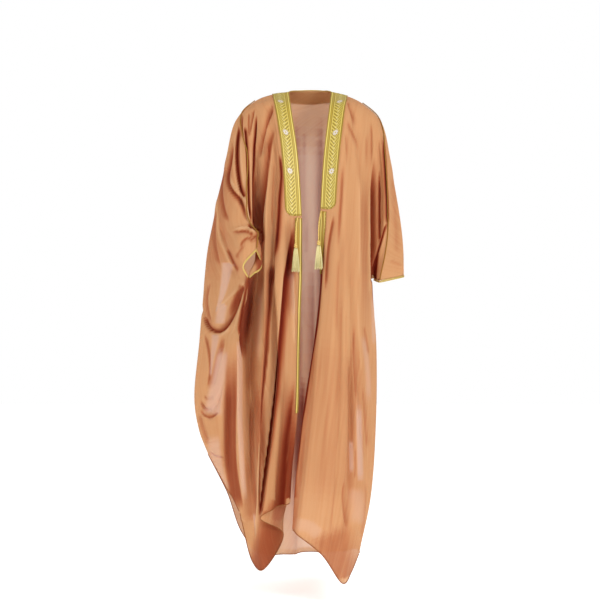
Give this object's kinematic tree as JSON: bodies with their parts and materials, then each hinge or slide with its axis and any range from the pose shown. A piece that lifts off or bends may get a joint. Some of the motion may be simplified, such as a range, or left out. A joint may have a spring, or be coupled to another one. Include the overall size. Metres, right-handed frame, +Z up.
{
  "type": "bisht cloak",
  "caption": "Open-fronted sheer cloak in its worn, hollow form, with a gold woven band round the neck and down the fronts, gold piping over the shoulders, hand openings and hanging tassels.",
  "frame": {"origin": "base of the wearer's neck, on the centre line, where the shoulders hold the cloak up", "axes": "+Z up, -Y the open front, +X the wearer's left"},
  "size_m": [0.6481, 0.459, 1.506],
  "materials": {
    "sheer_cloth": "sheer plain-woven cloth, honey tan, see-through where it is one layer deep",
    "zari": "woven band of yellow gold thread with silver stitching",
    "gold_braid": "twisted gold thread, soft metallic shine",
    "hem_thread": "dark brown rolled hem",
    "tassel_thread": "loose cream and gold silk threads"
  },
  "bodies": {
    "root": {"back_panel": "sheer_cloth", "front_right": "sheer_cloth", "front_left": "sheer_cloth", "zari_band_right": "zari", "zari_band_neck": "zari", "zari_band_left": "zari", "front_braid_right": "gold_braid", "front_braid_left": "gold_braid", "shoulder_piping_right": "gold_braid", "shoulder_piping_left": "gold_braid", "cuff_braid_right": "gold_braid", "cuff_braid_left": "gold_braid", "hem_front_right": "hem_thread", "hem_front_left": "hem_thread", "hem_back": "hem_thread", "tassel_cord_right": "tassel_thread", "tassel_head_right": "tassel_thread", "tassel_skirt_right": "tassel_thread", "tassel_cord_left": "tassel_thread", "tassel_head_left": "tassel_thread", "tassel_skirt_left": "tassel_thread"}
  },
  "joints": []
}
